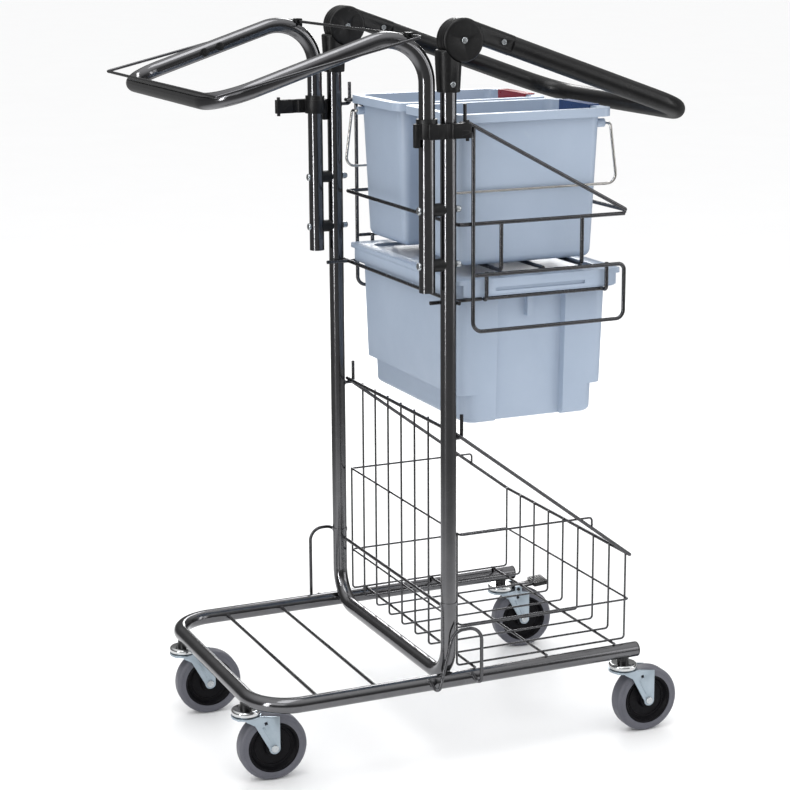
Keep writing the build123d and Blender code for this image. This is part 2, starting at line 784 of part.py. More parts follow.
arm_y = boss_front_y - 1.0 - bail_d / 2
bar_y = bucket_front_y - bail_bar_over
with BuildPart() as bail_shape:
    add(bent_bar(
        [
            (bail_pivot_x, boss_front_y + pin_in - 0.5, bail_pivot_z),
            (bail_pivot_x, arm_y, bail_pivot_z),
            (bail_arm_x, arm_y, bail_pivot_z),
            (bail_arm_x, bar_y, bail_bar_z),
            (bail_arm_x, 2 * bucket_y - bar_y, bail_bar_z),
            (bail_arm_x, 2 * bucket_y - arm_y, bail_pivot_z),
            (bail_pivot_x, 2 * bucket_y - arm_y, bail_pivot_z),
            (bail_pivot_x, 2 * bucket_y - boss_front_y - pin_in + 0.5, bail_pivot_z),
        ],
        [3.0, 5.0, bail_corner_r, bail_corner_r, 5.0, 3.0], bail_d,
    ))

tab_w = 88.0
tab_h = 23.0
tab_t = 1.8
tab_y = bucket_rear_y - bucket_flange - bucket_wall - 0.2
with BuildPart() as tab_shape:
    with BuildSketch(Plane.XY.offset(bucket_rim_z + 0.1)):
        with Locations((bucket_x, tab_y + bucket_flange / 2)):
            Rectangle(tab_w, bucket_flange + 4)
    extrude(amount=tab_t)
    with BuildSketch(Plane.XY.offset(bucket_rim_z - tab_h)):
        with Locations((bucket_x, tab_y - tab_t / 2 - 1.2)):
            Rectangle(tab_w, tab_t)
    extrude(amount=tab_h + 0.1 + tab_t)

for name, side in (("left", 1), ("right", -1)):
    for model, label in ((bucket_shape, "bucket"), (bail_shape, "bail"), (tab_shape, "colour_tab")):
        with BuildPart() as piece:
            if side == 1:
                add(model.part)
            else:
                add(mirror(model.part, about=Plane.YZ, mode=Mode.PRIVATE))
        keep(piece, f"{label}_{name}")

# ======================= lower box and its lid =======================

box_rim_half = post_half - 12.0
box_front_y = 18.0
box_rear_y = 274.0
box_rim_top = 688.0
box_flange = 3.0
box_half = post_half - 32.0
box_body_front = 25.5
box_body_rear = 267.5
box_step_z = 526.0
box_step = 12.0            # drawn in at the two ends only
box_bottom_z = 484.0
box_wall = 2.5
box_taper = 2.0
box_corner_r = 22.0
box_bottom_r = 8.0
recess_y = (92.0, 198.0)
recess_depth = 15.0
pull_half = 150.0
pull_out = 11.0
lid_t = 6.5
lid_skirt_t = 2.5
lid_skirt_z = 673.0
lid_recess = 4.3

box_rim_bottom = carrier_z + shelf_wire_d / 2 + 0.2
box_mid_y = (box_body_front + box_body_rear) / 2
box_l = box_body_rear - box_body_front
upper_h = box_rim_bottom - box_step_z
upper_inset = upper_h * tan(radians(box_taper))


def box_solid(inset, floor_z):
    """The tapered, stepped body, drawn in by inset on every side."""
    with BuildPart() as solid:
        with BuildSketch(Plane.XY.offset(box_rim_top)):
            with Locations((0, box_mid_y)):
                RectangleRounded(2 * (box_half - inset), box_l - 2 * inset, box_corner_r - inset)
        extrude(amount=-(box_rim_top - box_rim_bottom))
        with BuildSketch(Plane.XY.offset(box_rim_bottom)):
            with Locations((0, box_mid_y)):
                RectangleRounded(2 * (box_half - inset), box_l - 2 * inset, box_corner_r - inset)
        extrude(amount=-(upper_h - inset), taper=box_taper)
        low_inset = inset + upper_inset + box_step
        with BuildSketch(Plane.XY.offset(box_step_z + inset)):
            with Locations((0, box_mid_y)):
                RectangleRounded(2 * (box_half - inset - upper_inset), box_l - 2 * low_inset,
                                 box_corner_r - inset)
        extrude(amount=-(box_step_z + inset - floor_z), taper=box_taper)
        fillet(solid.edges().group_by(Axis.Z)[0], radius=box_bottom_r - inset)
    return solid.part


def side_recess(grow):
    """The hollows pressed into both long sides."""
    top_x = box_half - recess_depth - grow
    low_x = box_half - upper_inset - recess_depth - grow
    with BuildPart() as hollow:
        with BuildSketch(Plane.XZ.offset(-(recess_y[0] - grow))):
            Polygon(
                (top_x, box_rim_bottom + grow),
                (box_half + 30, box_rim_bottom + grow),
                (box_half + 30, box_bottom_z - 5),
                (low_x, box_bottom_z - 5),
                align=None,
            )
        extrude(amount=-(recess_y[1] - recess_y[0] + 2 * grow))
        mirror(about=Plane.YZ)
    return hollow.part


with BuildPart() as box_cavity:
    add(box_solid(box_wall, box_bottom_z + box_wall))
    add(side_recess(box_wall), mode=Mode.SUBTRACT)

with BuildPart() as box_tub:
    add(box_solid(0, box_bottom_z))
    add(side_recess(0), mode=Mode.SUBTRACT)
    with BuildSketch(Plane.XY.offset(box_rim_top - box_flange)):
        with Locations((0, (box_front_y + box_rear_y) / 2)):
            RectangleRounded(2 * box_rim_half, box_rear_y - box_front_y, box_corner_r)
    extrude(amount=box_flange)
    with BuildSketch(Plane.XY.offset(box_rim_bottom)):
        with Locations((0, (box_front_y + box_rear_y) / 2)):
            RectangleRounded(2 * box_rim_half, box_rear_y - box_front_y, box_corner_r)
            RectangleRounded(2 * (box_rim_half - box_wall),
                             box_rear_y - box_front_y - 2 * box_wall,
                             box_corner_r - box_wall, mode=Mode.SUBTRACT)
    extrude(amount=box_rim_top - box_rim_bottom)
    with BuildSketch(Plane.XY.offset(box_rim_bottom)):
        with Locations((0, box_rear_y - 1 + pull_out / 2)):
            Rectangle(2 * pull_half, pull_out + 1)
    extrude(amount=box_wall)
    with BuildSketch(Plane.XY.offset(box_rim_bottom)):
        with Locations((0, box_rear_y - 1 + pull_out - box_wall / 2)):
            Rectangle(2 * pull_half, box_wall)
    extrude(amount=box_rim_top - box_rim_bottom - 4)
    for side in (1, -1):
        with BuildSketch(Plane.XY.offset(box_rim_bottom - 38)):
            with Locations((side * (box_half - recess_depth + 3), (recess_y[0] + recess_y[1]) / 2)):
                Rectangle(12, 9)
        extrude(amount=38)
    add(box_cavity.part, mode=Mode.SUBTRACT)
keep(box_tub, "box_tub")

lid_z = box_rim_top + 0.2
lid_half = box_rim_half + 0.4 + lid_skirt_t
lid_mid_y = (box_front_y + box_rear_y) / 2
lid_l = box_rear_y - box_front_y
with BuildPart() as box_lid:
    with BuildSketch(Plane.XY.offset(lid_z)):
        with Locations((0, lid_mid_y)):
            RectangleRounded(2 * lid_half, lid_l, 8.0)
    extrude(amount=lid_t)
    with BuildSketch(Plane.XY.offset(lid_z + lid_t)):
        with Locations((0, lid_mid_y)):
            RectangleRounded(2 * (box_half - 8), lid_l - 44, 14.0)
    extrude(amount=-lid_recess, mode=Mode.SUBTRACT)
    for side in (1, -1):
        with BuildSketch(Plane.XY.offset(lid_skirt_z)):
            with Locations((side * (lid_half - lid_skirt_t / 2), lid_mid_y)):
                Rectangle(lid_skirt_t, lid_l - 18)
        extrude(amount=lid_z + 1 - lid_skirt_z)
        with BuildSketch(Plane.YZ.offset(side * (lid_half - lid_skirt_t / 2))):
            with Locations((lid_mid_y, (lid_skirt_z + lid_z) / 2 - 1)):
                SlotOverall(140, 5)
        extrude(amount=lid_skirt_t, both=True, mode=Mode.SUBTRACT)
keep(box_lid, "box_lid")

# ======================= tool clips on the bag tube =======================

clip_z = 892.0
clip_h = 20.0
clip_wall = 4.0
clip_gap = 0.3
clip_arm_t = 9.0
clip_lobe = 29.0            # length of each of the arm's two thick parts
clip_arm_reach = 57.0


def tool_clip():
    """Snap clip round the bag tube: a ring, a long arm with a fork end, and a pointed jaw."""
    inner = tube_r + clip_gap
    outer = inner + clip_wall
    arm_x = inner + 0.6
    with BuildPart() as clip:
        with BuildSketch(Plane.XY.offset(clip_z)):
            with Locations((post_half, bag_y)):
                Circle(outer)
            with Locations((post_half + arm_x + clip_arm_t / 2, bag_y + clip_lobe / 2 - 6),
                           (post_half + arm_x + clip_arm_t / 2,
                            bag_y + clip_arm_reach - clip_lobe / 2)):
                RectangleRounded(clip_arm_t, clip_lobe, 3.0)
            with Locations((post_half + arm_x + clip_arm_t / 2, bag_y + clip_arm_reach / 2)):
                Rectangle(clip_arm_t - 4, clip_arm_reach - clip_lobe)
            with Locations((post_half + 3, bag_y - outer + 2)):
                Rectangle(14, 6)
            with Locations((post_half, bag_y)):
                Circle(inner, mode=Mode.SUBTRACT)
        extrude(amount=clip_h)
        with BuildSketch(Plane.XY.offset(clip_z - 11)):
            with Locations((post_half + 4, bag_y - outer - 1.5)):
                RectangleRounded(10, 7, 2.0)
        extrude(amount=clip_h + 11)
        with BuildSketch(Plane.XY.offset(clip_z + clip_h)):
            with Locations((post_half, bag_y)):
                Circle(outer - 1)
                Circle(inner, mode=Mode.SUBTRACT)
        extrude(amount=6)
        pin_y = bag_y + clip_arm_reach - 5
        with BuildSketch(Plane.XY.offset(clip_z - 4)):
            with Locations((post_half + arm_x + clip_arm_t / 2, pin_y)):
                Circle(2.5)
        extrude(amount=clip_h + 8)
    return clip.part


with BuildPart() as tool_clip_left:
    add(tool_clip())
keep(tool_clip_left, "tool_clip_left")

with BuildPart() as tool_clip_right:
    add(tool_clip().rotate(Axis((0, bag_y, 0), (0, 0, 1)), 180))
keep(tool_clip_right, "tool_clip_right")

# ======================= castors =======================

wheel_d = 98.0
tyre_w = 25.0
tyre_inner_r = 37.0
hub_w = 27.0
axle_d = 8.0
trail = 36.0               # swivel axis to axle
leg_t = 2.6
leg_gap = 14.6             # wheel plane to the inside of a leg
crown_z = 96.0             # underside of the fork's crown
crown_t = 3.0
cup_r = 21.0
cup_h = 9.0
stem_d = 17.0
king_pin_d = 12.0
rivet_d = 17.0
rivet_h = 1.6
front_castor_x = 138.0
rear_castor_y = 283.5
# place: x, y and how far the castor is swivelled
castor_places = {
    "front_left": (front_castor_x, -rail_front, -4.0),
    "front_right": (-front_castor_x, -rail_front, -5.0),
    "rear_left": (post_half, rear_castor_y, -1.0),
    "rear_right": (-post_half, rear_castor_y, -6.0),
}
braked = "rear_right"
pedal_pivot_y = 25.0
pedal_pivot_z = 102.0
pedal_pin_d = 5.0
pedal_rise = 6.0           # degrees above level when off
pedal_reach = 52.0
pad_w = 34.0
pad_l = 24.0
pad_t = 6.5

axle_z = wheel_d / 2
crown_top = crown_z + crown_t
cup_bottom = crown_top + clear
cup_top = cup_bottom + cup_h
leg_out = leg_gap + leg_t


def fork(with_brake):
    """Swivel fork in its own frame: swivel axis on Z, axle across at y = trail."""
    ear_top = pedal_pivot_z + 5
    with BuildPart() as frame:
        with BuildSketch(Plane.XY.offset(crown_z)):
            RectangleRounded(2 * leg_out, 34, 4.0)
            Circle(cup_r)
        extrude(amount=crown_t)
        for start in (leg_gap, -leg_out):
            with BuildSketch(Plane.YZ.offset(start)):
                Polygon(
                    (-4, crown_top), (cup_r, crown_top), (trail + 8, crown_top - 4),
                    (trail + 8, axle_z), (trail, axle_z - 8), (trail - 8, axle_z),
                    (8, crown_z - 10), (-4, crown_z - 3), align=None,
                )
                with Locations((trail, axle_z)):
                    Circle(8)
                if with_brake:
                    with Locations((pedal_pivot_y, (ear_top + crown_z) / 2)):
                        Rectangle(12, ear_top - crown_z)
                with Locations((trail - 12, crown_z - 8)):
                    Rectangle(4.5, 4.5, rotation=15, mode=Mode.SUBTRACT)
                with Locations((trail, axle_z)):
                    Circle(axle_d / 2, mode=Mode.SUBTRACT)
                if with_brake:
                    with Locations((pedal_pivot_y, pedal_pivot_z)):
                        Circle(pedal_pin_d / 2 + fit_gap, mode=Mode.SUBTRACT)
            extrude(amount=leg_t)
        with BuildSketch(Plane.XY.offset(crown_z)):
            Circle(king_pin_d / 2 + fit_gap)
        extrude(amount=crown_t, mode=Mode.SUBTRACT)
    return frame.part


def axle():
    """Axle bolt with a low round head on one side and a lock nut on the other."""
    with BuildPart() as bolt:
        add(straight_bar((-leg_out - 1.5, trail, axle_z), (leg_out + 1, trail, axle_z), axle_d))
        with BuildSketch(Plane.YZ.offset(leg_out)):
            with Locations((trail, axle_z)):
                Circle(5.6)
        extrude(amount=1.8)
        fillet(bolt.edges().group_by(Axis.X)[-1], radius=1.0)
        with BuildSketch(Plane.YZ.offset(-leg_out)):
            with Locations((trail, axle_z)):
                RegularPolygon(6.5, 6)
        extrude(amount=-5)
    return bolt.part


def tyre():
    with BuildPart() as ring:
        with BuildSketch(Plane(origin=(0, trail, axle_z), x_dir=(1, 0, 0), z_dir=(0, -1, 0))):
            with Locations((0, (axle_z + tyre_inner_r) / 2)):
                RectangleRounded(tyre_w, axle_z - tyre_inner_r, 5.5)
            with Locations((0, tyre_inner_r + 3)):
                Rectangle(tyre_w, 6)
        revolve(axis=Axis((0, trail, axle_z), (1, 0, 0)), revolution_arc=360)
    return ring.part


def wheel_hub():
    with BuildPart() as core:
        with BuildSketch(Plane(origin=(0, trail, axle_z), x_dir=(1, 0, 0), z_dir=(0, -1, 0))):
            with BuildLine():
                Polyline(
                    (-hub_w / 2, axle_d / 2 + fit_gap),
                    (hub_w / 2, axle_d / 2 + fit_gap),
                    (hub_w / 2, 11),
                    (6, 14),
                    (6, 31),
                    (tyre_w / 2 - 1, tyre_inner_r - 2),
                    (tyre_w / 2 - 1, tyre_inner_r),
                    (-tyre_w / 2 + 1, tyre_inner_r),
                    (-tyre_w / 2 + 1, tyre_inner_r - 2),
                    (-6, 31),
                    (-6, 14),
                    (-hub_w / 2, 11),
                    close=True,
                )
            make_face()
        revolve(axis=Axis((0, trail, axle_z), (1, 0, 0)), revolution_arc=360)
    return core.part


def castor_stem():
    """Spacer tube up to the rail with the king pin and its rivet below."""
    with BuildPart() as stem:
        with BuildSketch(Plane.XY.offset(cup_top)):
            Circle(stem_d / 2)
        extrude(amount=rail_z - tube_r / 2 - cup_top)
        with BuildSketch(Plane.XY.offset(crown_z - clear)):
            Circle(king_pin_d / 2)
        extrude(amount=cup_top - crown_z + clear)
        with BuildSketch(Plane.XY.offset(crown_z - clear)):
            Circle(rivet_d / 2)
        extrude(amount=-rivet_h)
    return stem.part


def bearing_cup():
    with BuildPart() as cup:
        with BuildSketch(Plane.XZ):
            with Locations(((cup_r + king_pin_d / 2) / 2, (cup_bottom + cup_top) / 2)):
                RectangleRounded(cup_r - king_pin_d / 2, cup_top - cup_bottom, cup_h * 0.42)
            with Locations(((king_pin_d / 2 + 12) / 2, (cup_bottom + cup_top) / 2)):
                Rectangle(12 - king_pin_d / 2, cup_top - cup_bottom)
        revolve(axis=Axis.Z, revolution_arc=360)
    return cup.part


def brake_pedal():
    """Foot lever over the wheel, hinged between the fork's ears, with a ridged pad."""
    lever = Plane(origin=(0, pedal_pivot_y, pedal_pivot_z), x_dir=(1, 0, 0),
                  z_dir=(0, -sin(radians(pedal_rise)), cos(radians(pedal_rise))))
    with BuildPart() as pedal:
        add(straight_bar((-leg_out - 1, pedal_pivot_y, pedal_pivot_z),
                         (leg_out + 1, pedal_pivot_y, pedal_pivot_z), pedal_pin_d))
        with BuildSketch(lever.offset(-1.5)):
            with Locations((0, (pedal_reach - pedal_pin_d - 3) / 2)):
                Rectangle(2 * leg_gap - 9, pedal_reach - 3)
        extrude(amount=3)
        with BuildSketch(lever.offset(-2)):
            with Locations((0, pedal_reach - pad_l / 2)):
                RectangleRounded(pad_w, pad_l, 3.0)
        extrude(amount=pad_t)
        for i in range(5):
            with BuildSketch(lever.offset(pad_t - 2)):
                with Locations((0, pedal_reach - pad_l + 4 + 4 * i)):
                    Rectangle(pad_w - 6, 1.8)
            extrude(amount=1.2)
    return pedal.part


makers = {
    "castor_fork": fork(False),
    "castor_axle": axle(),
    "castor_tyre": tyre(),
    "castor_hub": wheel_hub(),
}
for place, (x, y, turn) in castor_places.items():
    spot = Location((x, y, 0), (0, 0, turn))
    for label, shape in makers.items():
        if label == "castor_fork" and place == braked:
            shape = fork(True)
        with BuildPart() as piece:
            add(shape.moved(spot))
        keep(piece, f"{label}_{place}")

with BuildPart() as brake_lever:
    x, y, turn = castor_places[braked]
    add(brake_pedal().moved(Location((x, y, 0), (0, 0, turn))))
keep(brake_lever, "brake_pedal")

with BuildPart() as castor_stems:
    for x, y, turn in castor_places.values():
        add(castor_stem().moved(Location((x, y, 0))))
    for side in (1, -1):
        add(straight_bar((side * post_half, 0, rail_z), (side * post_half, rail_rear + 20, rail_z),
                         tube_d), mode=Mode.SUBTRACT)
    add(straight_bar((-post_half, -rail_front, rail_z), (post_half, -rail_front, rail_z), tube_d),
        mode=Mode.SUBTRACT)
keep(castor_stems, "castor_stems")

with BuildPart() as castor_bearings:
    for x, y, turn in castor_places.values():
        add(bearing_cup().moved(Location((x, y, 0))))
keep(castor_bearings, "castor_bearings")
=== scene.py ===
import json
import math

import bmesh
import bpy
from mathutils import Matrix, Vector, noise


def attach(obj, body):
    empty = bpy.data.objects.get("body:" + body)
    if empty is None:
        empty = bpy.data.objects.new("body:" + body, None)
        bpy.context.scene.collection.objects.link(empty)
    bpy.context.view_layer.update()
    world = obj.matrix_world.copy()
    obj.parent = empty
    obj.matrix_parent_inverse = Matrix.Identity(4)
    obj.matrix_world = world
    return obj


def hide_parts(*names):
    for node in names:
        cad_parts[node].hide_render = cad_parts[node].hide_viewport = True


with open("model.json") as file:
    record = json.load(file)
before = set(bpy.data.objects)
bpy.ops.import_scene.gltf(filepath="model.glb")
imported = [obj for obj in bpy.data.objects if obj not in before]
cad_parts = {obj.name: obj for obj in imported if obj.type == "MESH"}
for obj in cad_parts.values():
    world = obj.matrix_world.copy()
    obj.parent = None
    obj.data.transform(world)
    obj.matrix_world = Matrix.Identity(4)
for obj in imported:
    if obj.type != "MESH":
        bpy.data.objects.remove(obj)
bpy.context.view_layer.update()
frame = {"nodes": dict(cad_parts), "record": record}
nodes = frame["nodes"]
print("stage: frame loaded,", len(nodes), "nodes")

castorNames = ("front_left", "front_right", "rear_left", "rear_right")


# Shader groups shared by the materials. Each gives out one thing that changes over the surface.

def startGroup(name, inputs, outputKind, outputName):
    group = bpy.data.node_groups.new(name, "ShaderNodeTree")
    for label, kind, value in inputs:
        socket = group.interface.new_socket(name=label, in_out="INPUT", socket_type=kind)
        socket.default_value = value
    group.interface.new_socket(name=outputName, in_out="OUTPUT", socket_type=outputKind)
    entry = group.nodes.new("NodeGroupInput")
    result = group.nodes.new("NodeGroupOutput")
    coords = group.nodes.new("ShaderNodeTexCoord")
    return group, entry, result, coords


def makeToneGroup():
    # two tones mottled by a coarse and a fine noise
    group, entry, result, coords = startGroup("mottledTone", [
        ("Tone", "NodeSocketColor", (0.5, 0.5, 0.5, 1)),
        ("Second Tone", "NodeSocketColor", (0.4, 0.4, 0.4, 1)),
        ("Scale", "NodeSocketFloat", 20.0),
        ("Spread", "NodeSocketFloat", 0.5)], "NodeSocketColor", "Color")
    coarse = group.nodes.new("ShaderNodeTexNoise")
    coarse.inputs["Detail"].default_value = 6.0
    coarse.inputs["Roughness"].default_value = 0.65
    level = group.nodes.new("ShaderNodeMapRange")
    level.inputs["From Min"].default_value = 0.35
    level.inputs["From Max"].default_value = 0.7
    share = group.nodes.new("ShaderNodeMath")
    share.operation = "MULTIPLY"
    blendTones = group.nodes.new("ShaderNodeMix")
    blendTones.data_type = "RGBA"
    link = group.links.new
    link(coords.outputs["Object"], coarse.inputs["Vector"])
    link(entry.outputs["Scale"], coarse.inputs["Scale"])
    link(coarse.outputs["Fac"], level.inputs["Value"])
    link(level.outputs["Result"], share.inputs[0])
    link(entry.outputs["Spread"], share.inputs[1])
    link(share.outputs[0], blendTones.inputs["Factor"])
    link(entry.outputs["Tone"], blendTones.inputs["A"])
    link(entry.outputs["Second Tone"], blendTones.inputs["B"])
    link(blendTones.outputs["Result"], result.inputs["Color"])
    return group


def makeRoughGroup():
    # handling marks: roughness wanders between two values
    group, entry, result, coords = startGroup("handledGloss", [
        ("Smooth", "NodeSocketFloat", 0.2),
        ("Dull", "NodeSocketFloat", 0.4),
        ("Scale", "NodeSocketFloat", 15.0)], "NodeSocketFloat", "Roughness")
    smear = group.nodes.new("ShaderNodeTexNoise")
    smear.inputs["Detail"].default_value = 8.0
    smear.inputs["Roughness"].default_value = 0.7
    smear.inputs["Distortion"].default_value = 0.8
    level = group.nodes.new("ShaderNodeMapRange")
    level.inputs["From Min"].default_value = 0.3
    level.inputs["From Max"].default_value = 0.72
    link = group.links.new
    link(coords.outputs["Object"], smear.inputs["Vector"])
    link(entry.outputs["Scale"], smear.inputs["Scale"])
    link(smear.outputs["Fac"], level.inputs["Value"])
    link(entry.outputs["Smooth"], level.inputs["To Min"])
    link(entry.outputs["Dull"], level.inputs["To Max"])
    link(level.outputs["Result"], result.inputs["Roughness"])
    return group


def makeGrainGroup():
    # moulded or plated grain as a bump, with a broad waviness under it
    group, entry, result, coords = startGroup("surfaceGrain", [
        ("Grain Scale", "NodeSocketFloat", 900.0),
        ("Wave Scale", "NodeSocketFloat", 12.0),
        ("Wave Share", "NodeSocketFloat", 0.5),
        ("Strength", "NodeSocketFloat", 0.2),
        ("Depth", "NodeSocketFloat", 0.0002)], "NodeSocketVector", "Normal")
    grain = group.nodes.new("ShaderNodeTexVoronoi")
    wave = group.nodes.new("ShaderNodeTexNoise")
    wave.inputs["Detail"].default_value = 2.0
    waveShare = group.nodes.new("ShaderNodeMath")
    waveShare.operation = "MULTIPLY"
    total = group.nodes.new("ShaderNodeMath")
    total.operation = "ADD"
    bump = group.nodes.new("ShaderNodeBump")
    link = group.links.new
    link(coords.outputs["Object"], grain.inputs["Vector"])
    link(coords.outputs["Object"], wave.inputs["Vector"])
    link(entry.outputs["Grain Scale"], grain.inputs["Scale"])
    link(entry.outputs["Wave Scale"], wave.inputs["Scale"])
    link(wave.outputs["Fac"], waveShare.inputs[0])
    link(entry.outputs["Wave Share"], waveShare.inputs[1])
    link(grain.outputs["Distance"], total.inputs[0])
    link(waveShare.outputs[0], total.inputs[1])
    link(total.outputs[0], bump.inputs["Height"])
    link(entry.outputs["Strength"], bump.inputs["Strength"])
    link(entry.outputs["Depth"], bump.inputs["Distance"])
    link(bump.outputs["Normal"], result.inputs["Normal"])
    return group


def makeScratchGroup():
    # fine hairline scratches, as a colour that lightens or darkens the tone below
    group, entry, result, coords = startGroup("hairlines", [
        ("Below", "NodeSocketColor", (0.5, 0.5, 0.5, 1)),
        ("Line Tone", "NodeSocketColor", (0.8, 0.8, 0.8, 1)),
        ("Scale", "NodeSocketFloat", 60.0),
        ("Width", "NodeSocketFloat", 0.02)], "NodeSocketColor", "Color")
    bend = group.nodes.new("ShaderNodeTexNoise")
    bend.inputs["Scale"].default_value = 7.0
    shift = group.nodes.new("ShaderNodeVectorMath")
    shift.operation = "ADD"
    stretch = group.nodes.new("ShaderNodeMapping")
    stretch.inputs["Rotation"].default_value = (0.5, 0.3, 0.8)
    stretch.inputs["Scale"].default_value = (1.0, 0.12, 0.5)
    cells = group.nodes.new("ShaderNodeTexVoronoi")
    cells.feature = "DISTANCE_TO_EDGE"
    thin = group.nodes.new("ShaderNodeMath")
    thin.operation = "LESS_THAN"
    patch = group.nodes.new("ShaderNodeTexNoise")
    patch.inputs["Scale"].default_value = 9.0
    keepSome = group.nodes.new("ShaderNodeMath")
    keepSome.operation = "MULTIPLY"
    blendTones = group.nodes.new("ShaderNodeMix")
    blendTones.data_type = "RGBA"
    link = group.links.new
    link(coords.outputs["Object"], bend.inputs["Vector"])
    link(coords.outputs["Object"], patch.inputs["Vector"])
    link(coords.outputs["Object"], shift.inputs[0])
    link(bend.outputs["Color"], shift.inputs[1])
    link(shift.outputs["Vector"], stretch.inputs["Vector"])
    link(stretch.outputs["Vector"], cells.inputs["Vector"])
    link(entry.outputs["Scale"], cells.inputs["Scale"])
    link(cells.outputs["Distance"], thin.inputs[0])
    link(entry.outputs["Width"], thin.inputs[1])
    link(thin.outputs[0], keepSome.inputs[0])
    link(patch.outputs["Fac"], keepSome.inputs[1])
    link(keepSome.outputs[0], blendTones.inputs["Factor"])
    link(entry.outputs["Below"], blendTones.inputs["A"])
    link(entry.outputs["Line Tone"], blendTones.inputs["B"])
    link(blendTones.outputs["Result"], result.inputs["Color"])
    return group


toneGroup = makeToneGroup()
roughGroup = makeRoughGroup()
grainGroup = makeGrainGroup()
scratchGroup = makeScratchGroup()
print("stage: shader groups ready")

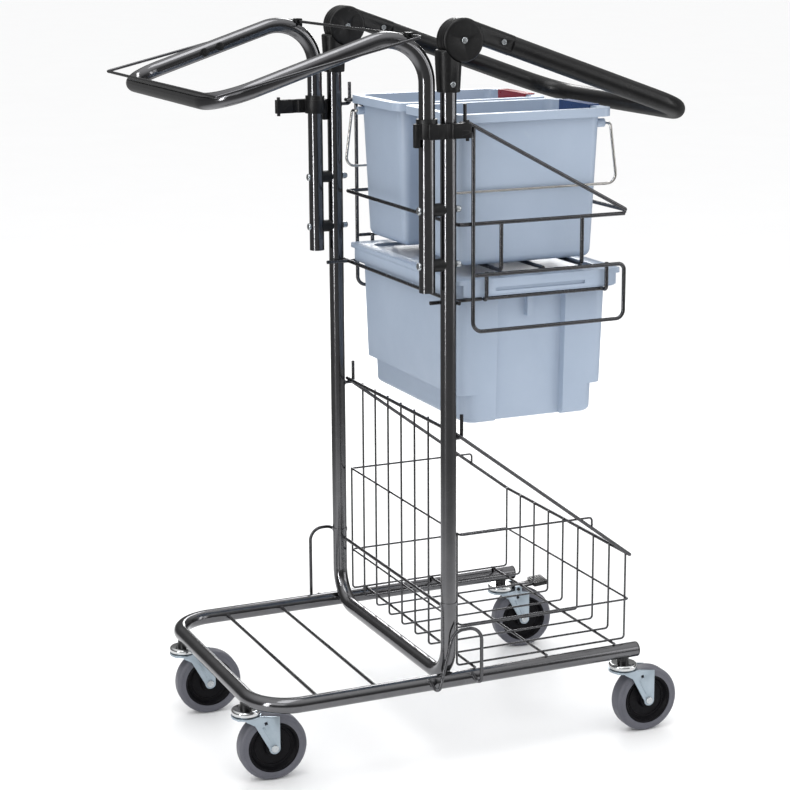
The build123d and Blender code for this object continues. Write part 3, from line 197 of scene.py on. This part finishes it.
# One entry for each finish. tone and second are colours, gloss is (smooth, dull), grain is
# (grain scale, wave scale, wave share, strength, depth in metres), line is the scratches' colour.
# specular is 0.5 where an entry doesn't give it.
finishes = {
    "gunmetalTube": {"tone": (0.150, 0.150, 0.156), "second": (0.115, 0.115, 0.121), "spread": 0.6,
                     "toneScale": 30.0, "gloss": (0.10, 0.17), "glossScale": 26.0, "metallic": 1.0,
                     "grain": (1400.0, 22.0, 1.6, 0.12, 0.0002), "line": (0.20, 0.20, 0.20),
                     "lineScale": 34.0, "lineWidth": 0.006},
    "gunmetalWire": {"tone": (0.095, 0.095, 0.100), "second": (0.070, 0.070, 0.074), "spread": 0.6,
                     "toneScale": 60.0, "gloss": (0.18, 0.32), "glossScale": 50.0, "metallic": 1.0,
                     "grain": (1800.0, 90.0, 1.0, 0.12, 0.0001), "line": (0.22, 0.22, 0.22),
                     "lineScale": 60.0, "lineWidth": 0.006},
    "blackMoulding": {"tone": (0.0045, 0.0045, 0.005), "second": (0.008, 0.008, 0.0085),
                      "spread": 0.7, "toneScale": 45.0, "gloss": (0.30, 0.44), "glossScale": 30.0,
                      "metallic": 0.0, "grain": (1500.0, 40.0, 0.3, 0.35, 0.0002),
                      "line": (0.06, 0.06, 0.06), "lineScale": 40.0, "lineWidth": 0.005,
                      "specular": 0.3},
    "blackGrip": {"tone": (0.0045, 0.0045, 0.005), "second": (0.008, 0.008, 0.0085), "spread": 0.7,
                  "toneScale": 30.0, "gloss": (0.26, 0.38), "glossScale": 22.0, "metallic": 0.0,
                  "grain": (1900.0, 30.0, 0.5, 0.22, 0.00015), "line": (0.05, 0.05, 0.05),
                  "lineScale": 34.0, "lineWidth": 0.005, "specular": 0.3},
    "paleMoulding": {"tone": (0.385, 0.462, 0.578), "second": (0.357, 0.434, 0.550), "spread": 0.8,
                     "toneScale": 14.0, "gloss": (0.30, 0.44), "glossScale": 18.0, "metallic": 0.0,
                     "grain": (1300.0, 16.0, 1.2, 0.14, 0.0002), "line": (0.40, 0.48, 0.57),
                     "lineScale": 26.0, "lineWidth": 0.004},
    "blueTab": {"tone": (0.010, 0.045, 0.16), "second": (0.008, 0.035, 0.13), "spread": 0.7,
                "toneScale": 60.0, "gloss": (0.25, 0.36), "glossScale": 40.0, "metallic": 0.0,
                "grain": (1500.0, 40.0, 0.4, 0.2, 0.0001), "line": (0.08, 0.14, 0.42),
                "lineScale": 60.0, "lineWidth": 0.005},
    "redTab": {"tone": (0.30, 0.012, 0.022), "second": (0.24, 0.010, 0.018), "spread": 0.7,
               "toneScale": 60.0, "gloss": (0.25, 0.36), "glossScale": 40.0, "metallic": 0.0,
               "grain": (1500.0, 40.0, 0.4, 0.2, 0.0001), "line": (0.5, 0.1, 0.1),
               "lineScale": 60.0, "lineWidth": 0.005},
    "stainless": {"tone": (0.56, 0.55, 0.53), "second": (0.44, 0.43, 0.41), "spread": 0.6,
                  "toneScale": 80.0, "gloss": (0.14, 0.26), "glossScale": 60.0, "metallic": 1.0,
                  "grain": (2000.0, 80.0, 0.8, 0.12, 0.0001), "line": (0.35, 0.35, 0.34),
                  "lineScale": 80.0, "lineWidth": 0.006},
    "brightScrew": {"tone": (0.50, 0.53, 0.55), "second": (0.38, 0.40, 0.42), "spread": 0.8,
                    "toneScale": 120.0, "gloss": (0.18, 0.34), "glossScale": 90.0, "metallic": 1.0,
                    "grain": (2500.0, 150.0, 0.6, 0.2, 0.0001), "line": (0.3, 0.3, 0.3),
                    "lineScale": 150.0, "lineWidth": 0.008},
    "zincPlate": {"tone": (0.37, 0.43, 0.48), "second": (0.32, 0.38, 0.43), "spread": 0.8,
                  "toneScale": 55.0, "gloss": (0.30, 0.42), "glossScale": 45.0, "metallic": 1.0,
                  "grain": (1600.0, 60.0, 0.35, 0.10, 0.0001), "line": (0.30, 0.34, 0.38),
                  "lineScale": 70.0, "lineWidth": 0.004},
    "chromeCup": {"tone": (0.60, 0.61, 0.61), "second": (0.50, 0.51, 0.52), "spread": 0.6,
                  "toneScale": 60.0, "gloss": (0.07, 0.14), "glossScale": 60.0, "metallic": 1.0,
                  "grain": (1600.0, 60.0, 0.4, 0.05, 0.0001), "line": (0.45, 0.45, 0.45),
                  "lineScale": 70.0, "lineWidth": 0.004},
    "stemBlack": {"tone": (0.006, 0.006, 0.0065), "second": (0.010, 0.010, 0.011), "spread": 0.7,
                  "toneScale": 60.0, "gloss": (0.22, 0.36), "glossScale": 50.0, "metallic": 0.0,
                  "grain": (1700.0, 70.0, 0.6, 0.25, 0.00015), "line": (0.10, 0.10, 0.10),
                  "lineScale": 80.0, "lineWidth": 0.006, "specular": 0.3},
    "greyTyre": {"tone": (0.105, 0.107, 0.130), "second": (0.085, 0.087, 0.106), "spread": 0.8,
                 "toneScale": 40.0, "gloss": (0.45, 0.62), "glossScale": 35.0, "metallic": 0.0,
                 "grain": (1400.0, 60.0, 0.6, 0.3, 0.0002), "line": (0.07, 0.07, 0.085),
                 "lineScale": 50.0, "lineWidth": 0.008},
    "wheelCentre": {"tone": (0.0032, 0.0030, 0.0042), "second": (0.0058, 0.0055, 0.0072),
                    "spread": 0.7, "toneScale": 60.0, "gloss": (0.34, 0.50), "glossScale": 45.0,
                    "metallic": 0.0, "grain": (1500.0, 60.0, 0.5, 0.28, 0.0002),
                    "line": (0.03, 0.03, 0.035), "lineScale": 60.0, "lineWidth": 0.006,
                    "specular": 0.10},
}


def placeGroup(tree, group, values):
    node = tree.nodes.new("ShaderNodeGroup")
    node.node_tree = group
    for label, value in values.items():
        node.inputs[label].default_value = value
    return node


def makeMaterial(name, finish):
    material = bpy.data.materials.new(name)
    material.use_nodes = True
    tree = material.node_tree
    shader = tree.nodes["Principled BSDF"]
    tone = placeGroup(tree, toneGroup, {
        "Tone": (*finish["tone"], 1), "Second Tone": (*finish["second"], 1),
        "Scale": finish["toneScale"], "Spread": finish["spread"]})
    lines = placeGroup(tree, scratchGroup, {
        "Line Tone": (*finish["line"], 1), "Scale": finish["lineScale"],
        "Width": finish["lineWidth"]})
    gloss = placeGroup(tree, roughGroup, {
        "Smooth": finish["gloss"][0], "Dull": finish["gloss"][1], "Scale": finish["glossScale"]})
    grainScale, waveScale, waveShare, strength, depth = finish["grain"]
    grain = placeGroup(tree, grainGroup, {
        "Grain Scale": grainScale, "Wave Scale": waveScale, "Wave Share": waveShare,
        "Strength": strength, "Depth": depth})
    tree.links.new(tone.outputs["Color"], lines.inputs["Below"])
    tree.links.new(lines.outputs["Color"], shader.inputs["Base Color"])
    tree.links.new(gloss.outputs["Roughness"], shader.inputs["Roughness"])
    tree.links.new(grain.outputs["Normal"], shader.inputs["Normal"])
    shader.inputs["Metallic"].default_value = finish["metallic"]
    shader.inputs["IOR"].default_value = 1.5
    shader.inputs["Specular IOR Level"].default_value = finish.get("specular", 0.5)
    return material


materials = {name: makeMaterial(name, finish) for name, finish in finishes.items()}

finishOfSlot = {
    "tube_gunmetal": "gunmetalTube", "wire_gunmetal": "gunmetalWire",
    "black_plastic": "blackMoulding", "grip_black": "blackGrip",
    "pale_plastic": "paleMoulding", "blue_tab": "blueTab",
    "red_tab": "redTab", "stainless": "stainless", "bright_screw": "brightScrew",
    "zinc": "zincPlate", "stem_black": "stemBlack", "tyre_rubber": "greyTyre",
    "wheel_plastic": "wheelCentre",
}
slotOfNode = {part["node"]: part["material_slot"] for part in frame["record"]["subparts"]}
bodyOfNode = {node: body for body, members in frame["record"]["behaviour"]["bodies"].items()
              for node in members}
finishOfNode = {nodeName: finishOfSlot[slotOfNode[nodeName]] for nodeName in nodes}
finishOfNode["castor_bearings"] = "chromeCup"
for nodeName, node in nodes.items():
    node.data.materials.clear()
    node.data.materials.append(materials[finishOfNode[nodeName]])
print("stage: finishes on", len(nodes), "nodes")


# Everyday steps of the modelling below.

smoothing = {"angle": 35.0}         # edges sharper than this many degrees stay sharp


def clearSelection():
    bpy.ops.object.select_all(action="DESELECT")


def pickOnly(piece):
    clearSelection()
    piece.select_set(True)
    bpy.context.view_layer.objects.active = piece


def smoothSkin(piece):
    pickOnly(piece)
    bpy.ops.object.shade_smooth_by_angle(angle=math.radians(smoothing["angle"]))


def joinPieces(name, pieces):
    clearSelection()
    for piece in pieces:
        piece.select_set(True)
    bpy.context.view_layer.objects.active = pieces[0]
    bpy.ops.object.join()
    pieces[0].name = name
    return pieces[0]


def metres(place):
    return Vector(place) / 1000


def turnTo(axis):
    # the turn that takes Z to the axis
    return Vector(axis).to_track_quat("Z", "Y").to_matrix().to_4x4()


def finishPiece(piece, body, slot, finish=None):
    pickOnly(piece)
    bpy.ops.object.transform_apply(location=True, rotation=True, scale=True)
    piece.data.name = piece.name
    piece.data.materials.clear()
    piece.data.materials.append(materials[finish or finishOfSlot[slot]])
    smoothSkin(piece)
    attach(piece, body)


def applyModifier(piece, kind, **settings):
    pickOnly(piece)
    modifier = piece.modifiers.new(kind.lower(), kind)
    for key, value in settings.items():
        setattr(modifier, key, value)
    bpy.ops.object.modifier_apply(modifier=modifier.name)


# A merged copy of each CAD node stands in for it, so that its curves shade smoothly.
# A node with an entry here also gets its sharp edges rounded by that width, in metres.
skinShape = {"mergeWithin": 0.00002, "flatWithin": 1.0, "roundAbove": 38.0, "roundSteps": 2}
softEdges = {"box_tub": 0.0012, "box_lid": 0.0012, "hinge_heads": 0.0008, "handle_arms": 0.0008,
             "tool_clip_left": 0.0009, "tool_clip_right": 0.0009, "brake_pedal": 0.0006,
             "clamp_clips": 0.0006, "rail_end_plugs": 0.0005, "bag_tube_plugs": 0.0004}
for place in castorNames:
    softEdges["castor_fork_" + place] = 0.0005


def mergedCopy(nodeName):
    piece = bpy.data.objects.new("skin_" + nodeName, nodes[nodeName].data.copy())
    bpy.context.collection.objects.link(piece)
    pickOnly(piece)
    bpy.ops.object.mode_set(mode="EDIT")
    bpy.ops.mesh.select_all(action="SELECT")
    bpy.ops.mesh.remove_doubles(threshold=skinShape["mergeWithin"])
    if nodeName in softEdges:
        bpy.ops.mesh.dissolve_limited(angle_limit=math.radians(skinShape["flatWithin"]))
    bpy.ops.object.mode_set(mode="OBJECT")
    if piece.data.has_custom_normals:
        bpy.ops.mesh.customdata_custom_splitnormals_clear()
    if nodeName in softEdges:
        applyModifier(piece, "BEVEL", width=softEdges[nodeName], segments=skinShape["roundSteps"],
                      limit_method="ANGLE", angle_limit=math.radians(skinShape["roundAbove"]),
                      use_clamp_overlap=True)
    finishPiece(piece, bodyOfNode[nodeName], slotOfNode[nodeName], finishOfNode[nodeName])
    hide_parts(nodeName)
    return piece


skins = {nodeName: mergedCopy(nodeName) for nodeName in sorted(nodes)}
print("stage: smooth skins on", len(skins), "nodes")


# Small parts that the smooth skins don't have.

def placedCopy(master, place, axis, scale):
    # a copy with its own mesh, its Z turned to the axis; place and scale are in millimetres
    piece = master.copy()
    piece.data = master.data.copy()
    bpy.context.collection.objects.link(piece)
    piece.matrix_world = (Matrix.Translation(metres(place)) @ turnTo(axis)
                          @ Matrix.Diagonal((*metres(scale), 1)))
    return piece


def removeMaster(master):
    bpy.data.objects.remove(master, do_unlink=True)


def addWelds(name, master, spots, body, slot):
    # each spot is its place, its axis and its size along the three ways of the weld
    finishPiece(joinPieces(name, [placedCopy(master, *spot) for spot in spots]), body, slot)


bead = {"thick": 0.30, "ripples": 9, "rippleHeight": 0.10, "rippleStart": 0.7, "flattened": 0.8,
        "around": 27, "across": 8}


def makeBeadMaster(shape):
    # a weld bead of radius 1, with the ripples that a torch leaves
    clearSelection()
    bpy.ops.mesh.primitive_torus_add(major_radius=1, minor_radius=shape["thick"],
                                     major_segments=shape["around"], minor_segments=shape["across"])
    ring = bpy.context.object
    for vertex in ring.data.vertices:
        angle = math.atan2(vertex.co.y, vertex.co.x)
        ripple = math.sin(shape["ripples"] * angle + shape["rippleStart"])
        swell = 1 + shape["rippleHeight"] * ripple
        middle = Vector((math.cos(angle), math.sin(angle), 0))
        vertex.co = middle + (vertex.co - middle) * swell
        vertex.co.z *= shape["flattened"]
    return ring


nugget = {"subdivisions": 2, "lumps": 2.2, "lumpHeight": 0.22}


def makeNuggetMaster(shape):
    # a spot weld between crossing wires, a lump of radius 1
    clearSelection()
    bpy.ops.mesh.primitive_ico_sphere_add(subdivisions=shape["subdivisions"], radius=1)
    lump = bpy.context.object
    for vertex in lump.data.vertices:
        vertex.co *= 1 + shape["lumpHeight"] * noise.noise(vertex.co * shape["lumps"])
    return lump


# places of the welds in millimetres on the side of +X, with the same again on the side of -X,
# mirrored, but for the hooks, which are turned half round
frameWeld = {"tubeX": 200.0, "railZ": 126.0, "tubeR": 11.0,
             "rods": ((-192, 126.0), (-103, 126.0), (0, 230)), "rodBead": 2.8,
             "uprightTurn": 45.0, "uprightBead": 5.2,
             "hookY": (33, -34), "hookTurn": 40.0, "hookBead": 2.9,
             "pegs": ((194, 9.3, 476), (200, 11, 904)), "pegBead": 2.9}


def frameBeads(weld):
    # beads where rods, upright, hooks and pegs meet the tubes
    tubeX, railZ, tubeR = weld["tubeX"], weld["railZ"], weld["tubeR"]
    upright, hook = math.radians(weld["uprightTurn"]), math.radians(weld["hookTurn"])
    beads = []
    for side in (1, -1):
        for y, z in weld["rods"]:
            beads.append(((side * (tubeX - tubeR), y, z), (side, 0, 0), weld["rodBead"]))
        beads.append(((side * (tubeX - tubeR * math.cos(upright)), 0,
                       railZ + tubeR * math.sin(upright)),
                      (-side * math.cos(upright), 0, math.sin(upright)), weld["uprightBead"]))
        for y in weld["hookY"]:
            beads.append(((side * (tubeX + tubeR * math.cos(hook)), side * y,
                           railZ + tubeR * math.sin(hook)),
                          (side * math.cos(hook), 0, math.sin(hook)), weld["hookBead"]))
        for x, y, z in weld["pegs"]:
            beads.append(((side * x, y, z), (0, 1, 0), weld["pegBead"]))
    return [(place, axis, (radius, radius, radius)) for place, axis, radius in beads]


# spot welds: basket wires on their rods, rings and rim
basketWeld = {"wires": 9, "halfWidth": 191.0, "size": (1.75, 1.75, 1.75),
              "onEveryWire": ((41, 141.2), (156, 141.2), (268, 141.2), (18.8, 204), (18.8, 336),
                              (290.7, 204), (291, 271.5)),
              "onInnerWires": (15.9, 482), "onSide": (197.9, 229, 326)}


def basketSpots(weld):
    gap = 2 * weld["halfWidth"] / (weld["wires"] - 1)
    wireX = [gap * i - weld["halfWidth"] for i in range(weld["wires"])]
    places = [(x, *spot) for x in wireX for spot in weld["onEveryWire"]]
    places += [(x, *weld["onInnerWires"]) for x in wireX[1:-1]]
    sideX, sideY, sideZ = weld["onSide"]
    places += [(side * sideX, sideY, sideZ) for side in (1, -1)]
    return [(place, (0, 0, 1), weld["size"]) for place in places]


shelfWeld = {"size": (2.9, 2.9, 2.6),
             "places": ((197.4, 81, 770.2), (197.4, 206, 770.2), (200.0, 59, 703),
                        (200.0, 246, 703), (200.5, 144, 704.4), (202.5, 38.9, 703),
                        (197.4, 273, 775.4))}


def shelfSpots(weld):
    return [((side * x, y, z), (0, 0, 1), weld["size"])
            for side in (1, -1) for x, y, z in weld["places"]]


beadMaster = makeBeadMaster(bead)
nuggetMaster = makeNuggetMaster(nugget)
addWelds("weldBeads", beadMaster, frameBeads(frameWeld), "frame", "tube_gunmetal")
addWelds("basketSpotWelds", nuggetMaster, basketSpots(basketWeld), "basket", "wire_gunmetal")
addWelds("shelfSpotWelds", nuggetMaster, shelfSpots(shelfWeld), "frame", "wire_gunmetal")
removeMaster(beadMaster)
removeMaster(nuggetMaster)
print("stage: welds done")

# cross recesses in the screw heads, in millimetres
recess = {"long": 4.4, "wide": 0.9, "deep": 1.1, "armX": 200.0}


def cutCross(skin, place, axis, shape):
    # two crossed bars are taken out of the head
    bars = []
    for size in ((shape["long"], shape["wide"]), (shape["wide"], shape["long"])):
        clearSelection()
        bpy.ops.mesh.primitive_cube_add(size=1)
        bar = bpy.context.object
        bar.matrix_world = (Matrix.Translation(place) @ turnTo(axis)
                            @ Matrix.Diagonal((*metres((*size, 2 * shape["deep"])), 1)))
        bars.append(bar)
    for bar in bars:
        applyModifier(skin, "BOOLEAN", operation="DIFFERENCE", object=bar, solver="EXACT")
        bpy.data.objects.remove(bar, do_unlink=True)
    smoothSkin(skin)


def loosePartBoxes(skin):
    # the lowest and the highest corner of each loose part
    mesh = bmesh.new()
    mesh.from_mesh(skin.data)
    seen, boxes = set(), []
    for start in mesh.verts:
        if start.index in seen:
            continue
        stack, island = [start], []
        seen.add(start.index)
        while stack:
            vertex = stack.pop()
            island.append(vertex.co.copy())
            for edge in vertex.link_edges:
                other = edge.other_vert(vertex)
                if other.index not in seen:
                    seen.add(other.index)
                    stack.append(other)
        boxes.append([Vector([pick(point[k] for point in island) for k in range(3)])
                      for pick in (min, max)])
    mesh.free()
    return boxes


# every loose part is one screw along X; its head looks away from the middle of the cart,
# but the inner screws of the arms, nearer to it than the arms are, look towards it
for nodeName, innerX in (("neck_screws", 0.0), ("arm_screws", recess["armX"])):
    for low, high in loosePartBoxes(skins[nodeName]):
        middle = (low + high) / 2
        outward = math.copysign(1, middle.x) * (1 if abs(middle.x) * 1000 > innerX else -1)
        faceX = high.x if outward > 0 else low.x
        cutCross(skins[nodeName], (faceX, middle.y, middle.z), (outward, 0, 0), recess)
print("stage: screw recesses cut")

# rings moulded in the wheel centres and tyres: radius, distance from the middle of the wheel
# and thickness; ribs pressed in the forks; all in millimetres and degrees
jointByName = {joint["name"]: joint for joint in frame["record"]["behaviour"]["joints"]}
wheel = {"rings": ((27.0, 6.2, 1.3), (34.6, 11.3, 1.0), (11.2, 13.2, 0.7)),
         "tyreRings": ((43.6, 12.35, 0.55),), "around": 96, "across": 10}
fork = {"ribLong": 26.0, "ribWide": 3.0, "ribHigh": 0.8, "ribY": 26.0, "ribZ": 71.0,
        "ribLean": 28.0, "faceX": 17.25, "edgeShare": 0.8, "edgeSteps": 3}


def addRing(place, axis, radius, thick, shape):
    clearSelection()
    bpy.ops.mesh.primitive_torus_add(major_radius=radius / 1000, minor_radius=thick / 1000,
                                     major_segments=shape["around"], minor_segments=shape["across"])
    ring = bpy.context.object
    ring.matrix_world = Matrix.Translation(place) @ turnTo(axis)
    return ring


def ringsBothSides(centre, axis, rings, shape):
    return [addRing(centre + axis * side * x / 1000, axis, radius, thick, shape)
            for side in (1, -1) for radius, x, thick in rings]


def addForkRib(spot, turn, side, shape):
    # a flat bar with its edges rounded and its ends drawn in
    clearSelection()
    bpy.ops.mesh.primitive_cube_add(size=1)
    rib = bpy.context.object
    rib.scale = metres((2 * shape["ribHigh"], shape["ribWide"], shape["ribLong"]))
    bpy.ops.object.transform_apply(location=False, rotation=False, scale=True)
    applyModifier(rib, "BEVEL", width=shape["ribHigh"] * shape["edgeShare"] / 1000,
                  segments=shape["edgeSteps"])
    onFork = metres((side * shape["faceX"], shape["ribY"], shape["ribZ"])) - Vector((0, 0, spot.z))
    rib.matrix_world = (Matrix.Translation(spot) @ turn @ Matrix.Translation(onFork)
                        @ Matrix.Rotation(math.radians(shape["ribLean"]), 4, "X"))
    return rib


for place in castorNames:
    roll = jointByName["roll_" + place]
    centre, axis = Vector(roll["pos_m"]), Vector(roll["axis"])
    rings = ringsBothSides(centre, axis, wheel["rings"], wheel)
    finishPiece(joinPieces("wheelRings_" + place, rings), "wheel_" + place, "wheel_plastic")
    rings = ringsBothSides(centre, axis, wheel["tyreRings"], wheel)
    finishPiece(joinPieces("tyreRings_" + place, rings), "wheel_" + place, "tyre_rubber")
    swivel = Vector(jointByName["swivel_" + place]["pos_m"])
    turn = Matrix.Rotation(math.atan2(axis.y, axis.x), 4, "Z")
    ribs = [addForkRib(swivel, turn, side, fork) for side in (1, -1)]
    finishPiece(joinPieces("forkRibs_" + place, ribs), "castor_" + place, "zinc")
print("stage: castor details done")

# collars where the grip leaves the arms; along and above are measured from the handle's pivot,
# down the slope of the grip and square to it
collar = {"radius": 13.3, "thick": 0.7, "around": 64, "across": 8, "x": 200.0,
          "pivot": (0.0, 17.0, 1020.0), "slope": 19.6, "along": 72.8, "above": 15.8}


def addCollars(shape):
    slope = math.radians(shape["slope"])
    along = Vector((0, math.cos(slope), -math.sin(slope)))
    above = Vector((0, math.sin(slope), math.cos(slope)))
    middle = metres(shape["pivot"]) + (along * shape["along"] + above * shape["above"]) / 1000
    return [addRing(metres((side * shape["x"], 0, 0)) + middle, along, shape["radius"],
                    shape["thick"], shape) for side in (1, -1)]


finishPiece(joinPieces("gripCollars", addCollars(collar)), "handle", "grip_black")
print("stage: small parts done")


# Floor, light and camera.

studio = {"floorSize": 160.0, "floorTone": (0.955, 0.957, 0.96), "floorSecond": 0.985,
          "floorScale": 3.0, "floorSpread": 0.8, "floorRoughness": 0.7,
          # painted shade that glossy surfaces see on the floor far away, standing in for a dark
          # room, and where the floor fades to it
          "glossFloorPaintedShade": 0.16, "glossFloorNear": 0.7, "glossFloorFar": 1.6,
          # glow of the sky: lowest and highest direction of the climb, and its strength there
          "skyGlow": (0.0, 0.75, 0.50, 1.50), "skyGleam": (0.25, 0.95, 0.22, 1.5),
          # place, target, size and power of each panel
          "lights": {
              "keyPanel": ((2.6, -2.6, 2.6), (0, 0, 0.6), (2.4, 2.0), 16.0),
              "fillPanel": ((3.2, 2.6, 1.5), (0, 0, 0.7), (1.1, 2.4), 16.0),
              "overheadPanel": ((0.5, -0.4, 3.3), (0, 0, 0.6), (1.0, 2.6), 26.0),
              "rimStrip": ((-2.8, 1.4, 1.8), (0, 0, 0.7), (0.5, 2.6), 26.0)},
          # tall strips that show only as streaks in glossy surfaces
          "streaks": {
              "keyStreak": ((1.5, -3.4, 1.3), (0, 0, 0.85), (0.36, 2.8), 70.0),
              "sideStreak": ((1.9, 3.2, 1.3), (0, 0, 0.85), (0.7, 2.8), 26.0)}}


def makeFloor(setup):
    clearSelection()
    bpy.ops.mesh.primitive_plane_add(size=setup["floorSize"], location=(0, 0, 0))
    floor = bpy.context.object
    floor.name = "studioFloor"
    material = bpy.data.materials.new("floorPaint")
    material.use_nodes = True
    tree = material.node_tree
    shader = tree.nodes["Principled BSDF"]
    tone = placeGroup(tree, toneGroup, {
        "Tone": (*setup["floorTone"], 1),
        "Second Tone": (*[setup["floorSecond"] * part for part in setup["floorTone"]], 1),
        "Scale": setup["floorScale"], "Spread": setup["floorSpread"]})
    # painted shade: reflections see the floor darken far away, standing in for a dark studio room
    coords = tree.nodes.new("ShaderNodeTexCoord")
    reach = tree.nodes.new("ShaderNodeVectorMath")
    reach.operation = "LENGTH"
    fade = tree.nodes.new("ShaderNodeMapRange")
    fade.inputs["From Min"].default_value = setup["glossFloorNear"]
    fade.inputs["From Max"].default_value = setup["glossFloorFar"]
    rays = tree.nodes.new("ShaderNodeLightPath")
    share = tree.nodes.new("ShaderNodeMath")
    share.operation = "MULTIPLY"
    darken = tree.nodes.new("ShaderNodeMix")
    darken.data_type = "RGBA"
    # the painted shade that glossy rays see on the far floor
    darken.inputs["B"].default_value = (*[setup["glossFloorPaintedShade"]] * 3, 1)
    tree.links.new(coords.outputs["Object"], reach.inputs[0])
    tree.links.new(reach.outputs["Value"], fade.inputs["Value"])
    tree.links.new(fade.outputs["Result"], share.inputs[0])
    tree.links.new(rays.outputs["Is Glossy Ray"], share.inputs[1])
    tree.links.new(share.outputs[0], darken.inputs["Factor"])
    tree.links.new(tone.outputs["Color"], darken.inputs["A"])
    tree.links.new(darken.outputs["Result"], shader.inputs["Base Color"])
    shader.inputs["Roughness"].default_value = setup["floorRoughness"]
    floor.data.materials.append(material)


def addSoftLight(name, place, target, size, power):
    bpy.ops.object.light_add(type="AREA", location=place)
    light = bpy.context.object
    light.name = name
    light.data.shape = "RECTANGLE"
    light.data.size, light.data.size_y = size
    light.data.energy = power
    light.rotation_euler = (Vector(target) - Vector(place)).to_track_quat("-Z", "Y").to_euler()
    return light


def addGlow(tree, upward, ramp):
    # a background whose strength climbs with the height of the direction
    climb = tree.nodes.new("ShaderNodeMapRange")
    climb.interpolation_type = "SMOOTHSTEP"
    for label, value in zip(("From Min", "From Max", "To Min", "To Max"), ramp):
        climb.inputs[label].default_value = value
    glow = tree.nodes.new("ShaderNodeBackground")
    tree.links.new(upward, climb.inputs["Value"])
    tree.links.new(climb.outputs["Result"], glow.inputs["Strength"])
    return glow


def makeWorld(setup):
    # the camera sees plain white, glossy surfaces see the gleam, and the rest is lit by the glow
    world = bpy.data.worlds.new("studioWorld")
    bpy.context.scene.world = world
    world.use_nodes = True
    sky = world.node_tree
    plain = sky.nodes["Background"]
    plain.inputs["Color"].default_value = (1, 1, 1, 1)
    direction = sky.nodes.new("ShaderNodeTexCoord")
    parts = sky.nodes.new("ShaderNodeSeparateXYZ")
    link = sky.links.new
    link(direction.outputs["Generated"], parts.inputs["Vector"])
    glow = addGlow(sky, parts.outputs["Z"], setup["skyGlow"])
    gleam = addGlow(sky, parts.outputs["Z"], setup["skyGleam"])
    rays = sky.nodes.new("ShaderNodeLightPath")
    forGloss = sky.nodes.new("ShaderNodeMixShader")
    link(rays.outputs["Is Glossy Ray"], forGloss.inputs["Fac"])
    link(glow.outputs["Background"], forGloss.inputs[1])
    link(gleam.outputs["Background"], forGloss.inputs[2])
    forCamera = sky.nodes.new("ShaderNodeMixShader")
    link(rays.outputs["Is Camera Ray"], forCamera.inputs["Fac"])
    link(forGloss.outputs["Shader"], forCamera.inputs[1])
    link(plain.outputs["Background"], forCamera.inputs[2])
    link(forCamera.outputs["Shader"], sky.nodes["World Output"].inputs["Surface"])


makeFloor(studio)
for name, values in studio["lights"].items():
    addSoftLight(name, *values)
for name, values in studio["streaks"].items():
    addSoftLight(name, *values).visible_diffuse = False
makeWorld(studio)
bpy.context.scene.view_settings.view_transform = "Standard"

cameraView = {"place": (2.7082, -1.1843, 1.1902), "turn": 66.235, "tilt": 13.187, "roll": -0.355,
              "lens": 94.77, "sensor": 36.0}
bpy.ops.object.camera_add()
camera = bpy.context.object
camera.matrix_world = (Matrix.Translation(cameraView["place"])
                       @ Matrix.Rotation(math.radians(cameraView["turn"]), 4, "Z")
                       @ Matrix.Rotation(math.radians(90 - cameraView["tilt"]), 4, "X")
                       @ Matrix.Rotation(math.radians(cameraView["roll"]), 4, "Z"))
camera.data.lens = cameraView["lens"]
camera.data.sensor_width = cameraView["sensor"]
bpy.context.scene.camera = camera
print("stage: studio ready")
